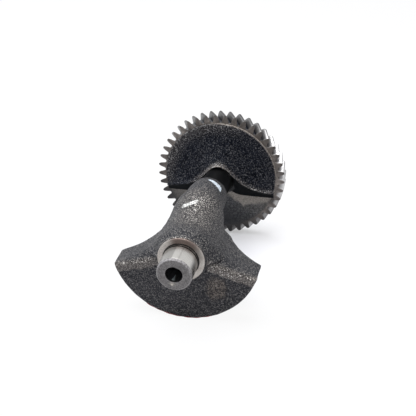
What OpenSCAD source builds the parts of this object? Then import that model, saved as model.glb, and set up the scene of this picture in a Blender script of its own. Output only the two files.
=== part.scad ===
// Balance shaft, one forging: a ground journal, a fan-shaped weight hanging below the axis, a raised beam,
// and a helical gear with a lobe above the axis. The axis lies along Y and the shoulder is at y = 0.

/* [Journals] */
// Diameter of the ground journal at the front
journal_d = 22; // [18:0.5:26]
// Length of the front journal from its end to the shoulder
journal_len = 17.5; // [12:0.5:24]
// Chamfer at the journal's free end
journal_chamfer = 1; // [0.4:0.1:2]
// Depth of the grinding relief cut in the shoulder at the journal's foot
relief_depth = 0.5; // [0.2:0.1:1]
// Width of the grinding relief
relief_w = 1.3; // [0.4:0.1:1.6]
// Diameter of the turned shoulder ring
shoulder_d = 29.6; // [27.5:0.1:32]
// How far the shoulder ring stands out of the forged boss behind it
ring_out = 0.8; // [0.4:0.1:2]
// How far the forged boss widens from the ring to the fan's front face
boss_flare = 1.5; // [0.5:0.1:2.4]
// Diameter of the hole in the front journal's end
bore_d = 10.6; // [6:0.2:13]
// Depth of that hole to its drill cone
bore_depth = 15; // [8:0.5:20]
// Length of the rear journal
rear_len = 16; // [10:0.5:24]

/* [Front weight] */
// Outer radius of the fan
weight_r = 47.6; // [42:0.1:50]
// Distance from the shoulder back to the fan's front face
weight_back = 7.6; // [5:0.1:10]
// Thickness of the fan at its outer edge
weight_t = 17.8; // [12:0.1:20]
// Fall of the fan's upper edges below level, in degrees
weight_fall = 16.1; // [8:0.1:24]
// Length over which the fan's back flares into the beam
flare_len = 32; // [24:0.5:38]
// Height of the trimmed land below the fan's upper edges
land_h = 4; // [2:0.1:6]
// How far the trimmed land stands out of the front face
land_out = 0.5; // [0.2:0.1:1]
// Rounding of the fan's front edges
edge_round = 1.6; // [0.6:0.1:2.4]

/* [Beam] */
// Width of the beam
beam_w = 28; // [24:0.5:31]
// Height of the beam
beam_h = 31; // [28:0.5:34]
// Height of the beam's centre line above the axis at its rear end
beam_rise = 8; // [4:0.5:10]
// Width of the beam's root, where the flare runs out
beam_root_w = 34.8; // [32:0.2:38]
// Distance from the shoulder to the beam's rounded rear end
beam_end = 88; // [82:0.5:94]
// Length of the beam's rounded rear end
nose_len = 26; // [20:0.5:30]
// Diameter of the neck between beam and gear
neck_d = 20; // [18:0.5:24]

/* [Gear] */
// Distance from the shoulder to the gear's front face
gear_at = 122; // [116:0.5:130]
// Number of teeth
teeth = 41; // [32:1:48]
// Outer radius over the teeth
gear_r = 46.9; // [46:0.1:50]
// Depth of the teeth
tooth_h = 5.2; // [4:0.1:6]
// Helix angle at the pitch circle, left-handed
helix = 24; // [10:0.5:30]
// Width of the teeth along the axis
face_w = 10.5; // [8:0.5:16]
// Width of the solid rim left under the teeth
rim_w = 4; // [3:0.1:7]
// Depth of the recess in the light half's front face
web_front = 0.8; // [0.4:0.1:3.5]
// Depth of the recess in the light half's rear face
web_rear = 4; // [1:0.1:4.4]
// Height of the faced band left between the lobe's foot and the recess
band_h = 6; // [2:0.5:8]

/* [Rear lobe] */
// Outer radius of the lobe's front face
lobe_r = 40; // [36:0.1:40.4]
// How far the lobe's rim stands out of the gear's front face
lobe_out = 1.5; // [0.5:0.1:3]
// How far the lobe's flare reaches forward of the gear
lobe_reach = 9; // [7:0.5:12]
// Height of the arch in the lobe's lower edge above the axis
arch_h = 13.1; // [12:0.1:18]
// Half width of that arch
arch_w = 13.5; // [11:0.5:18]
// How far the lip along that edge stands forward of the lobe's face
lip_out = 1.9; // [1:0.1:5]
// Fall of the lip from the face to its front edge
lip_fall = 1; // [0.6:0.1:2]
// Depth of the lobe's lower edge below the axis
lobe_drop = 9.8; // [8:0.1:13]
// Depth of the foot of the lobe's under face below the axis
foot_drop = 14.5; // [14.2:0.1:18]
// Rise of that foot where it meets the neck
foot_rise = 7; // [3:0.5:9]
// Half width of that rise
foot_rise_w = 8.5; // [6:0.5:11]

/* [Hidden] */
$fn = 96;
eps = 0.01;
journal_r = journal_d / 2;
shoulder_r = shoulder_d / 2;
neck_r = neck_d / 2;
bore_r = bore_d / 2;
gear_back = gear_at + face_w;
root_r = gear_r - tooth_h;
pitch_r = gear_r - tooth_h * 0.45;
weight_end = weight_back + weight_t;
flare_end = weight_end + flare_len;
core_r = shoulder_r + 0.6;
boss_r = core_r + boss_flare;
ring_edge = 0.3;
hub_r = journal_r + 5;
fan_half = 90 - weight_fall;
beam_root_r = beam_root_w / 2;
// Stations along the axis: root of the beam, where it slims, where its rounded end starts
root_from = weight_back + 4.4;
root_to = flare_end - 16.8;
slim_from = root_to + 4;
nose_at = beam_end - nose_len;
rise_to = nose_at + 4;
tooth_at = 86.8;
// How fast the fan's back sweeps in, and how softly its upper faces run up to the beam, in degrees
flare_rate = 3.3;
deck_soft = 5;
deck_power = 1.3;
// How steeply the arch in the lobe's lower edge runs out
arch_power = 2.3;

// Turned profile, pairs of radius and distance along the axis
function turned() = [
    [0, -journal_len],
    [journal_r - journal_chamfer, -journal_len],
    [journal_r, -journal_len + journal_chamfer],
    [journal_r, relief_depth],
    [journal_r + relief_w, relief_depth],
    [journal_r + relief_w, 0],
    [shoulder_r - ring_edge, 0],
    [shoulder_r, ring_edge],
    [shoulder_r, ring_out],
    [core_r, ring_out],
    [core_r + boss_flare * 0.15, weight_back * 0.5],
    [core_r + boss_flare * 0.5, weight_back * 0.8],
    [boss_r, weight_back + edge_round],
    [boss_r, weight_back + 2],
    [neck_r, weight_back + 5],
    [neck_r, gear_at - 7],
    [neck_r + 0.9, gear_at - 4.2],
    [neck_r + 3, gear_at - 2],
    [neck_r + 3, gear_back - 1],
    [hub_r, gear_back - 1],
    [hub_r, gear_back + 2],
    [journal_r, gear_back + 2],
    [journal_r, gear_back + 2 + rear_len - journal_chamfer],
    [journal_r - journal_chamfer, gear_back + 2 + rear_len],
    [0, gear_back + 2 + rear_len]
];

// Lays a solid made round Z along Y
module along_y() {
    rotate([-90, 0, 0]) children();
}

module turned_shaft() {
    along_y() rotate_extrude() polygon(turned());
}

// Angles round the section, counted from straight down, on one side, gathered at the fan's edge e
function half_angles(e) = concat(
    [for (i = [0:16]) e * i / 17],
    [for (k = [0, 1.4, 4, 8, 12, 17, 23, 31]) e + k],
    [for (i = [1:6]) e + 31 + (149 - e) * i / 7]
);
function mirrored(a) = concat(a, [180], [for (i = [len(a) - 1:-1:1]) 360 - a[i]]);

// A smooth step from 0 at a to 1 at b
function step(a, b, t) = let (s = min(1, max(0, (t - a) / (b - a)))) s * s * (3 - 2 * s);

// Fan radius at distance y: full in the fan, then a concave sweep that runs out along the beam
function fan_radius(y) = y <= weight_end ? weight_r :
    let (t = (y - weight_end) / flare_len)
    (beam_root_r + (weight_r - beam_root_r) * exp(-t * flare_rate)) * (1 - step(0.45, 1.1, t));

// Angle of the fan's upper edge at distance y, climbing as the fan runs out
function edge_angle(y) = fan_half + (90 - fan_half) * step(weight_end, flare_end, y);

// How much of the fan radius is left at angle a when its edge is at e, from 1 at the edge to 0
function deck(a, e) = a <= e ? 1 : 1 / (1 + pow((a - e) / deck_soft, deck_power));

// Beam section at distance y: height of centre, half width, half height
function beam_c(y) = beam_rise * step(weight_end, rise_to, y);
function beam_half(y, half, to) = y < slim_from ?
    boss_r + (beam_root_r - boss_r) * step(root_from, root_to, y) :
    beam_root_r + (half - beam_root_r) * step(slim_from, to, y);
// The rounded end: what is left of the width and of the height
function end_t(y) = min(1, max(0, (y - nose_at) / nose_len));
function end_w(y) = pow(max(0, 1 - pow(end_t(y), 4)), 0.4);
function end_h(y) = pow(max(0, 1 - pow(end_t(y), 2.2)), 0.5);

// Distance from the axis to an ellipse centred c above it, at angle a from straight down
function ellipse_r(a, c, w, h) =
    let (
        dx = sin(a) / w,
        dz = -cos(a) / h,
        p = dx * dx + dz * dz,
        q = -dz * c / h,
        s = c * c / (h * h) - 1
    )
    (-q + sqrt(max(0, q * q - p * s))) / p;

// Distance from the axis to the forged body at y and angle a, with the fan's upper edge at angle e
function body_r(y, a, e) =
    let (
        w = max(2, beam_half(y, beam_w / 2, nose_at) * end_w(y)),
        h = max(2, beam_half(y, beam_h / 2, rise_to) * end_h(y)),
        half_a = a > 180 ? 360 - a : a,
        b = ellipse_r(half_a, beam_c(y) * end_h(y), w, h),
        f = fan_radius(y)
    )
    f > b ? b + (f - b) * deck(half_a, e) : b;

// Rows along the axis behind the rounded front edge
function body_rows() = concat(
    [(weight_back + weight_end) / 2, weight_end - 0.8],
    [for (k = [0.6, 2.4, 4.8, 8, 12, 17]) weight_end + k],
    [for (k = [0:5]) slim_from + 2 + (rise_to - slim_from - 2) * k / 5],
    [for (k = [0.34, 0.5, 0.64, 0.76, 0.86, 0.93, 0.975]) nose_at + nose_len * k]
);

// One ring of the forged body at y, drawn in by inset all round
function body_ring(y, inset) =
    let (e = edge_angle(y) - inset * 180 / PI / (weight_r * 0.7))
    [for (a = mirrored(half_angles(e))) let (r = body_r(y, a, e) - inset) [r * sin(a), y, -r * cos(a)]];

// Closed solid from rings of points, each ring capped to the middle of its end
module ring_solid(rings) {
    n = len(rings[0]);
    m = len(rings);
    first = [for (k = [0:2]) [for (p = rings[0]) p[k]] * [for (p = rings[0]) 1] / n];
    last = [for (k = [0:2]) [for (p = rings[m - 1]) p[k]] * [for (p = rings[m - 1]) 1] / n];
    points = concat([for (r = rings) each r], [first, last]);
    sides = [for (j = [0:m - 2]) for (i = [0:n - 1])
        let (a = j * n + i, b = j * n + (i + 1) % n, c = a + n, d = b + n) each [[a, b, d], [a, d, c]]];
    caps = concat(
        [for (i = [0:n - 1]) [(i + 1) % n, i, n * m]],
        [for (i = [0:n - 1]) [(m - 1) * n + i, (m - 1) * n + (i + 1) % n, n * m + 1]]
    );
    polyhedron(points, concat(sides, caps), 6);
}

// Fan, flare and beam as one forged body
module forged_body() {
    ring_solid(concat(
        [for (q = [90:-30:0]) body_ring(weight_back + edge_round * (1 - sin(q)), edge_round * (1 - cos(q)))],
        [for (y = body_rows()) body_ring(y, 0)]
    ));
}

// Trimmed land along one upper edge of the fan
module trim_land(side) {
    rotate([0, side * weight_fall, 0])
        mirror([side > 0 ? 0 : 1, 0, 0])
            translate([shoulder_r - 1, weight_back - land_out, -land_h - edge_round])
                cube([weight_r - shoulder_r + 0.6 - edge_round, land_out + 1, land_h]);
}

// Radius and half width in degrees of a tooth at its root, pitch circle, shoulder and tip
function tooth_steps() = let (p = 360 / teeth) [
    [root_r, p * 0.36],
    [pitch_r, p * 0.24],
    [gear_r - tooth_h * 0.16, p * 0.145],
    [gear_r, p * 0.05]
];

// One tooth's outline, up its near flank and down its far one
function tooth() = let (t = tooth_steps()) [
    for (k = [0, 1, 2, 3]) [t[k][0], -t[k][1]],
    for (k = [3, 2, 1, 0]) t[k]
];
function gear_ring(y, turn) = [
    for (i = [0:teeth - 1]) for (p = tooth())
        let (a = turn + 360 * i / teeth + p[1]) [p[0] * cos(a), y, p[0] * sin(a)]
];

module gear_ring_solid() {
    twist = face_w * tan(helix) / pitch_r * 180 / PI;
    ring_solid([for (k = [0:3]) gear_ring(gear_at + face_w * k / 3, tooth_at + twist * k / 3)]);
}

// Bell curve from 1 at the middle to 0, half way down at the arch's half width
function bell(x) = 1 / (1 + pow(abs(x) / arch_w, arch_power));

// Foot of the lobe's face at x, its height and how far forward it lies, and foot of the under face
function arch_z(x) = -lobe_drop + (arch_h + lobe_drop) * bell(x);
function foot_z(x) = -foot_drop + foot_rise * exp(-pow(x / foot_rise_w, 2));
function arch_y(x) = gear_at - lobe_out * 2 - (lobe_reach - lobe_out * 2) * bell(x);

// One section through the lobe, from its rim over its face, lip and under face to the back
function lobe_ring(u) =
    let (
        x = u * (lobe_r - 1.4),
        a = 90 - u * (90 + asin((lobe_drop - 0.4) / lobe_r)),
        rim = [lobe_r * cos(a), gear_at - lobe_out, lobe_r * sin(a)],
        crease = [x, arch_y(x), arch_z(x)],
        out = lip_out * (1 - 0.3 * u * u),
        lip = crease - [0, out, lip_fall],
        under = lip + [0, 0.5, -0.9],
        foot = [x, gear_at - 0.1, foot_z(x)]
    )
    concat(
        [[rim[0], gear_at + 3, rim[2]]],
        [for (v = [0, 0.35, 0.6, 0.8, 0.93]) let (p = rim + (crease - rim) * v)
            [p[0], rim[1] + (crease[1] - rim[1]) * pow(v, 2.4), p[2]]],
        [crease - [0, out * 0.15, lip_fall * 0.1], lip, under],
        [under + (foot - under) * 0.5, foot],
        [[x, gear_at + 3, foot_z(x)]]
    );

module rear_lobe() {
    ring_solid([for (i = [16:-1:-16]) lobe_ring(i / 16)]);
}

// Recess in the light half of the gear, from y back by depth
module web_recess(y, depth) {
    intersection() {
        translate([0, y, 0]) along_y() difference() {
            cylinder(h = depth, r = root_r - rim_w);
            translate([0, 0, -1]) cylinder(h = depth + 2, r = hub_r + 1);
        }
        translate([-root_r, y - 1, -root_r]) cube([root_r * 2, depth + 2, root_r - foot_drop - band_h]);
    }
}

module journal_hole() {
    along_y() translate([0, 0, -journal_len - 1]) {
        cylinder(h = bore_depth + 1, r = bore_r);
        translate([0, 0, bore_depth + 1 - eps]) cylinder(h = bore_r * 0.6, r1 = bore_r, r2 = 0);
    }
}

module balance_shaft() {
    color([0.36, 0.35, 0.35]) difference() {
        union() {
            turned_shaft();
            forged_body();
            trim_land(1);
            trim_land(-1);
            gear_ring_solid();
            rear_lobe();
        }
        journal_hole();
        web_recess(gear_at - eps, web_front);
        web_recess(gear_back - web_rear, web_rear + eps);
    }
}

balance_shaft();
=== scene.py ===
import math
import bmesh
import bpy
import numpy as np
from mathutils import Matrix


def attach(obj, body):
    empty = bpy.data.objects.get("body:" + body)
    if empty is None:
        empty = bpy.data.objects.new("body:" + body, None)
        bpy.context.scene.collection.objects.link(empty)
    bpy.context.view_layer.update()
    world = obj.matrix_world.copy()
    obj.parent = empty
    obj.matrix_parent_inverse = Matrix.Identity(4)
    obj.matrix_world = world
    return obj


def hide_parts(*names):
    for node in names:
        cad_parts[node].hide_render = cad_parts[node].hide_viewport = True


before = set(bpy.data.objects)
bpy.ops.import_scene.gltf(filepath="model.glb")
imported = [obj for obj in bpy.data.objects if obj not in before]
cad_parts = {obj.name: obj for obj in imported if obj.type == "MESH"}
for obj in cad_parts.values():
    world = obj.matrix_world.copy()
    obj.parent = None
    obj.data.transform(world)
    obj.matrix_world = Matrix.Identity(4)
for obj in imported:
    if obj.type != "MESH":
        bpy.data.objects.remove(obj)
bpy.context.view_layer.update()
mm = 0.001
nodeName = "balance_shaft"
scene = bpy.context.scene
print("stage: frame loaded")

# Sizes in millimetres, as in the part's source: the axis is Y and the shoulder's face is y = 0
shaft = dict(
    journalR=11.0, journalLen=17.5, chamfer=1.0, shoulderR=14.8, ringOut=0.8, coreR=15.4, bossFlare=1.5,
    neckR=10.0, holeR=5.3, holeDepth=15.0, reliefW=1.3, reliefDepth=0.5, rearLen=16.0, hubR=16.0,
)
fan = dict(r=47.6, back=7.6, thick=17.8, fall=16.1, flareLen=32.0, flareRate=3.3, soft=5.0, power=1.3,
           landH=4.0, landOut=0.5, edge=1.6, fade=(0.45, 1.1))
beam = dict(halfW=14.0, halfH=15.5, rise=8.0, end=88.0, nose=26.0, rootR=17.4, noseW=(4, 0.4),
            noseH=(2.2, 0.5), least=2, riseOver=4, rootIn=4.4, rootShort=16.8, slimAfter=4)
gear = dict(at=122.0, teeth=41, r=46.9, toothH=5.2, helix=24.0, width=10.5, rimW=4.0, webFront=0.8,
            webRear=4.0, band=6.0, turn=86.8, pitchIn=0.45)
lobe = dict(r=40.0, out=1.5, reach=9.0, archH=13.1, archW=13.5, archPower=2.3, lipOut=1.9, lipFall=1.0,
            drop=9.8, foot=14.5, footRise=7.0, footRiseW=8.5)

bossR = shaft["coreR"] + shaft["bossFlare"]
fanEnd = fan["back"] + fan["thick"]
fanHalf = 90 - fan["fall"]
fanSlope = math.radians(fan["fall"])
flareEnd = fanEnd + fan["flareLen"]
noseAt = beam["end"] - beam["nose"]
riseTo = noseAt + beam["riseOver"]
rootFrom = fan["back"] + beam["rootIn"]
rootTo = flareEnd - beam["rootShort"]
slimFrom = rootTo + beam["slimAfter"]
gearBack = gear["at"] + gear["width"]
rootR = gear["r"] - gear["toothH"]
pitchR = gear["r"] - gear["toothH"] * gear["pitchIn"]


def ease(a, b, t):  # 0 below a, 1 above b, a cubic between
    s = np.clip((t - a) / (b - a), 0, 1)
    return s * s * (3 - 2 * s)


def fade(a, b, t):  # 1 below a, 0 above b
    return 1 - ease(a, b, t)


def lerp(a, b, t):  # a at 0, b at 1
    return a + (b - a) * t


def grow(least, more, a, b, t):  # least below a, least plus more above b
    return least + more * ease(a, b, t)


def stepAt(at, ends, t):  # ease between two ends that are measured from a place
    return ease(at + ends[0], at + ends[1], t)


waves = dict(seed=11, count=28)
waveRng = np.random.default_rng(waves["seed"])
waveDirs = waveRng.normal(size=(waves["count"], 3))
waveDirs /= np.linalg.norm(waveDirs, axis=1)[:, None]
wavePhase = waveRng.uniform(0, 2 * math.pi, waves["count"])
waveLen = waveRng.uniform(0.7, 1.6, waves["count"])


def ripple(p, length, first=0, count=14):  # sum of seeded sine waves that run in all directions, about 1 high
    k = slice(first, first + count)
    turns = (p @ waveDirs[k].T) * (2 * math.pi / (length * waveLen[k])) + wavePhase[k]
    return np.sin(turns).sum(-1) / math.sqrt(count)


forgedSkin = dict(slowLength=7.0, slowHeight=0.13, fineLength=2.6, fineHeight=0.06, fineFirst=14, sink=0.12)


def forgedRipple(p):  # the slow waves and the finer orange peel of a forged skin, in millimetres
    k = forgedSkin
    slow = ripple(p, k["slowLength"]) * k["slowHeight"]
    return slow + ripple(p, k["fineLength"], k["fineFirst"]) * k["fineHeight"]


def around(t, middle, half):  # a bell: 1 at the middle, falling off over half
    return np.exp(-((t - middle) / half) ** 2)


def spot(u, v, midU, halfU, midV, halfV):  # a bell in two directions
    return around(u, midU, halfU) * around(v, midV, halfV)


def fullCircle(count):  # angles round the axis, the last one short of the first
    return np.linspace(0, 2 * math.pi, count, endpoint=False)


def polar(r, y, a):  # points at radius r, place y and angle a from straight down
    return np.stack([r * np.sin(a), y, -r * np.cos(a)], -1)


def gridQuads(nv, nu, wrapV):  # quads between neighbouring rows, the columns closing on themselves
    idx = np.arange(nv * nu).reshape(nv, nu)
    rows = np.concatenate([idx, idx[:1]]) if wrapV else idx
    a, b = rows[:-1], rows[1:]
    return np.stack([a, np.roll(a, -1, 1), np.roll(b, -1, 1), b], -1).reshape(-1, 4)


def closeEnds(grid):  # adds a first and a last row, each drawn to its middle
    ends = [grid[k:k + 1].mean(1, keepdims=True) + 0 * grid[:1] for k in (0, len(grid) - 1)]
    return np.concatenate([ends[0], grid, ends[1]])


def signedVolume(co, quads):  # sum of the tetrahedra from the origin to each triangle
    p = co[np.concatenate([quads[:, :3], quads[:, [0, 2, 3]]])]
    return np.einsum("ij,ij->i", p[:, 0], np.cross(p[:, 1], p[:, 2])).sum()


def addObject(name, data):
    thing = bpy.data.objects.new(name, data)
    scene.collection.objects.link(thing)
    return thing


weldWithin = dict(doubles=2e-7, slivers=1e-7)  # in metres


def makePiece(name, grid, material, wrapV=False, masks=None, *, sharp):
    # A closed mesh from rows of points, with its masks as point attributes and its poles welded
    nv, nu = grid.shape[:2]
    co = grid.reshape(-1, 3) * mm
    quads = gridQuads(nv, nu, wrapV)
    if signedVolume(co, quads) < 0:
        quads = quads[:, ::-1].copy()  # a closed surface faces outwards when its volume is positive
    mesh = bpy.data.meshes.new(name)
    mesh.vertices.add(len(co))
    mesh.vertices.foreach_set("co", co.astype(np.float32).ravel())
    mesh.loops.add(quads.size)
    mesh.loops.foreach_set("vertex_index", quads.astype(np.int32).ravel())
    mesh.polygons.add(len(quads))
    mesh.polygons.foreach_set("loop_start", np.arange(0, quads.size, 4, dtype=np.int32))
    mesh.update(calc_edges=True)
    for key, values in (masks or {}).items():
        layer = mesh.attributes.new(key, "FLOAT", "POINT")
        layer.data.foreach_set("value", np.clip(values, 0, 1).astype(np.float32).ravel())
    weld = bmesh.new()
    weld.from_mesh(mesh)
    bmesh.ops.remove_doubles(weld, verts=weld.verts, dist=weldWithin["doubles"])
    bmesh.ops.dissolve_degenerate(weld, edges=weld.edges, dist=weldWithin["slivers"])
    weld.to_mesh(mesh)
    weld.free()
    mesh.polygons.foreach_set("use_smooth", np.ones(len(mesh.polygons), bool))
    mesh.set_sharp_from_angle(angle=math.radians(sharp))
    mesh.materials.append(material)
    piece = addObject(name, mesh)
    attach(piece, "root")
    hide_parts(nodeName)
    print("piece:", name, len(mesh.polygons), "faces")


# Shader helpers: each makes a node or a few and hands back the output
def addNode(tree, kind, **values):
    n = tree.nodes.new(kind)
    for key, value in values.items():
        if key in n.inputs.keys():
            n.inputs[key].default_value = value
        else:
            setattr(n, key, value)
    return n


def plug(tree, socket, value):
    if isinstance(value, tuple):
        socket.default_value = (*value, 1)
    elif isinstance(value, (int, float)):
        socket.default_value = value
    else:
        tree.links.new(value, socket)


def calc(tree, op, a, b=0.0):
    n = addNode(tree, "ShaderNodeMath", operation=op)
    plug(tree, n.inputs[0], a)
    plug(tree, n.inputs[1], b)
    return n.outputs[0]


def times(tree, a, b):
    return calc(tree, "MULTIPLY", a, b)


def lengthOf(tree, a, b):  # root of the sum of two squares
    return calc(tree, "SQRT", calc(tree, "ADD", times(tree, a, a), times(tree, b, b)))


def scaled(tree, value, by, plus):  # value times by, and plus
    return calc(tree, "ADD", times(tree, value, by), plus)


def ramp(tree, fac, *stops):  # stops are pairs of place and grey value
    n = addNode(tree, "ShaderNodeValToRGB")
    els = n.color_ramp.elements
    while len(els) < len(stops):
        els.new(0.5)
    for e, (at, grey) in zip(els, stops):
        e.position = at
        e.color = (grey, grey, grey, 1)
    tree.links.new(fac, n.inputs[0])
    return n.outputs[0]


def rampUp(tree, fac, ends, top=1.0):  # 0 at the first end, top at the second
    return ramp(tree, fac, (ends[0], 0.0), (ends[1], top))


def blend(tree, fac, a, b):
    n = addNode(tree, "ShaderNodeMix", data_type="RGBA")
    plug(tree, n.inputs[0], fac)
    plug(tree, n.inputs[6], a)
    plug(tree, n.inputs[7], b)
    return n.outputs[2]


def noise(tree, at, **values):
    n = addNode(tree, "ShaderNodeTexNoise", **values)
    tree.links.new(at, n.inputs["Vector"])
    return n


def ownPlace(tree):  # the place in the object's own frame, whole and as x, y and z
    at = addNode(tree, "ShaderNodeTexCoord").outputs["Object"]
    xyz = addNode(tree, "ShaderNodeSeparateXYZ")
    tree.links.new(at, xyz.inputs[0])
    return at, xyz.outputs


def mask(tree, name):
    return addNode(tree, "ShaderNodeAttribute", attribute_name=name).outputs["Fac"]


def newGroup(name, inputs, outputs):
    g = bpy.data.node_groups.new(name, "ShaderNodeTree")
    for label, value in inputs.items():
        g.interface.new_socket(label, in_out="INPUT", socket_type="NodeSocketFloat").default_value = value
    for label in outputs:
        g.interface.new_socket(label, in_out="OUTPUT", socket_type="NodeSocketFloat")
    return g, g.nodes.new("NodeGroupInput").outputs, g.nodes.new("NodeGroupOutput").inputs


grainForm = dict(second=1.37, cells=0.8, pits=0.5, slow=65.0,
                 grain=(0.40, 0.60), specks=(0.27, 0.36), tone=(0.3, 0.7))


def forgedGrainGroup():  # blasted grain: fine noise less cell pits; specks are its peaks, tone a slow noise
    k = grainForm
    g, gin, gout = newGroup("forgedGrain", {"Grains per metre": 900.0}, ["Height", "Grain", "Specks", "Tone"])
    at = addNode(g, "ShaderNodeTexCoord").outputs["Object"]
    fine = noise(g, at, Detail=1.5, Roughness=0.6)
    second = noise(g, at, Detail=1.0)
    cells = addNode(g, "ShaderNodeTexVoronoi")
    g.links.new(at, cells.inputs["Vector"])
    g.links.new(gin[0], fine.inputs["Scale"])
    g.links.new(times(g, gin[0], k["second"]), second.inputs["Scale"])
    g.links.new(times(g, gin[0], k["cells"]), cells.inputs["Scale"])
    slow = noise(g, at, Scale=k["slow"], Detail=3.0)
    pits = times(g, cells.outputs["Distance"], k["pits"])
    g.links.new(calc(g, "SUBTRACT", fine.outputs[0], pits), gout["Height"])
    peak = times(g, fine.outputs[0], second.outputs[0])
    for label, value in (("grain", fine.outputs[0]), ("specks", peak), ("tone", slow.outputs[0])):
        g.links.new(rampUp(g, value, k[label]), gout[label.capitalize()])
    return g


def toolMarksGroup():  # turning lines: noise of the place along the axis or the radius; smear is slow
    g, gin, gout = newGroup(
        "toolMarks", {"Along axis": 1.0, "Across radius": 1.0, "Lines per metre": 4000.0}, ["Lines", "Smear"]
    )
    at, xyz = ownPlace(g)
    radius = lengthOf(g, xyz[0], xyz[2])
    place = calc(g, "ADD", times(g, xyz[1], gin[0]), times(g, radius, gin[1]))
    lines = addNode(g, "ShaderNodeTexNoise", noise_dimensions="1D", Scale=1.0, Detail=3.0, Roughness=0.7)
    g.links.new(times(g, place, gin[2]), lines.inputs["W"])
    g.links.new(lines.outputs[0], gout["Lines"])
    g.links.new(noise(g, at, Scale=160.0, Detail=4.0).outputs[0], gout["Smear"])
    return g


grainGroup = forgedGrainGroup()
toolGroup = toolMarksGroup()


def newMaterial(name):
    m = bpy.data.materials.new(name)
    m.use_nodes = True
    return m, m.node_tree, m.node_tree.nodes["Principled BSDF"].inputs


def useGroup(tree, group, *values):
    n = addNode(tree, "ShaderNodeGroup", node_tree=group)
    for socket, value in zip(n.inputs, values):
        socket.default_value = value
    return n.outputs


def bump(tree, sockets, height, strength, distance):
    b = addNode(tree, "ShaderNodeBump", Strength=strength, Distance=distance)
    tree.links.new(height, b.inputs["Height"])
    tree.links.new(b.outputs[0], sockets["Normal"])


bodyLook = dict(
    dark=(0.006, 0.007, 0.010), mid=(0.049, 0.049, 0.0545), speck=(0.38, 0.36, 0.336), speckShare=0.29,
    spark=(0.85, 0.83, 0.80), sparkShare=0.7, sparkEnds=(0.55, 0.95),
    land=(0.175, 0.155, 0.140), stain=(0.16, 0.13, 0.105), smooth=(0.004, 0.005, 0.006),
    specular=0.14, roughness=0.46, bump=0.8, depth=0.0005, grains=1250.0,
    grainTone=0.75, slowTone=0.25, landGrain=(0.5, 0.4), stainGrain=(0.6, 0.1), speckMetal=0.7,
    roughTone=0.15, smoothBump=0.9,
)
# The rear lobe's scale is a darker copy of the body's: painted shade, with a paler land for its lip
shadedLobeLook = dict(
    bodyLook, dark=(0.0016, 0.0022, 0.0045), mid=(0.0145, 0.0175, 0.027), speck=(0.34, 0.335, 0.33),
    speckShare=0.25, sparkShare=0.1, specular=0.04, land=(0.48, 0.42, 0.37), grains=1080.0,
)


def forgedMaterial(name, k):  # dark scale with grain and specks; masks lay in lands, stain and a smooth face that is painted near black as shade
    m, tree, sockets = newMaterial(name)
    grain = useGroup(tree, grainGroup, k["grains"])
    land, stain, smooth, bright = [mask(tree, n + "Mask") for n in ("land", "stain", "smooth", "speck")]
    tone = scaled(tree, grain["Grain"], k["grainTone"], times(tree, grain["Tone"], k["slowTone"]))
    base = blend(tree, tone, k["dark"], k["mid"])
    for label, part in (("land", land), ("stain", stain)):
        share = scaled(tree, grain["Grain"], *k[label + "Grain"])
        base = blend(tree, times(tree, part, share), base, k[label])
    plain = k["speckShare"]
    speck = times(tree, grain["Specks"], scaled(tree, bright, 1 - plain, plain))
    base = blend(tree, speck, base, k["speck"])
    strong = times(tree, grain["Specks"], bright)
    sparks = rampUp(tree, strong, k["sparkEnds"], k["sparkShare"])
    base = blend(tree, sparks, base, k["spark"])
    base = blend(tree, smooth, base, k["smooth"])
    tree.links.new(base, sockets["Base Color"])
    tree.links.new(times(tree, speck, k["speckMetal"]), sockets["Metallic"])
    sockets["Specular IOR Level"].default_value = k["specular"]
    tree.links.new(scaled(tree, grain["Tone"], k["roughTone"], k["roughness"]), sockets["Roughness"])
    coarse = calc(tree, "SUBTRACT", 1.0, times(tree, smooth, k["smoothBump"]))
    bump(tree, sockets, times(tree, grain["Height"], coarse), k["bump"], k["depth"])
    return m


turnedForm = dict(smear=(0.35, 0.7), lineShare=0.4, lineTint=0.7, mottleTint=0.45, dullTint=0.2,
                  grains=1100.0, roughSmear=0.12, lineDepth=0.00006)
# Turned steels. The matt spot colours paint shade in the journal's groove and the ring's relief, a highlight
# in the hole, and a nick on the end face
turnedLooks = dict(
    groundJournal=dict(colour=(0.58, 0.57, 0.55), stain=(0.46, 0.45, 0.43), roughness=0.22, along=1.0,
                       lines=9000.0, shadeGlintAndNick=(0.006, 0.006, 0.007)),
    turnedEnd=dict(colour=(0.36, 0.348, 0.355), stain=(0.235, 0.226, 0.235), roughness=0.55, along=0.0,
                   lines=5000.0, depth=0.3, shadeGlintAndNick=(0.80, 0.74, 0.64), mottle=0.95),
    turnedRing=dict(colour=(0.60, 0.575, 0.55), stain=(0.32, 0.27, 0.24), roughness=0.40, along=0.0,
                    lines=4500.0, depth=0.25, stainShare=0.8, dull=(0.14, 0.095, 0.082),
                    shadeGlintAndNick=(0.006, 0.006, 0.006), mottle=0.45),
    # The neck: a dark copy of the turned steel, painted shade under the lobe
    shadedNeck=dict(colour=(0.035, 0.036, 0.038), stain=(0.02, 0.02, 0.021), roughness=0.30, along=1.0,
                    lines=3500.0, depth=0.2),
    drilledHole=dict(colour=(0.55, 0.56, 0.60), stain=(0.40, 0.33, 0.25), roughness=0.34, along=1.0,
                     lines=2500.0, depth=0.3, shadeGlintAndNick=(0.70, 0.80, 0.82)),
)


def tinted(colour, by):
    return tuple(c * by for c in colour)


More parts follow.
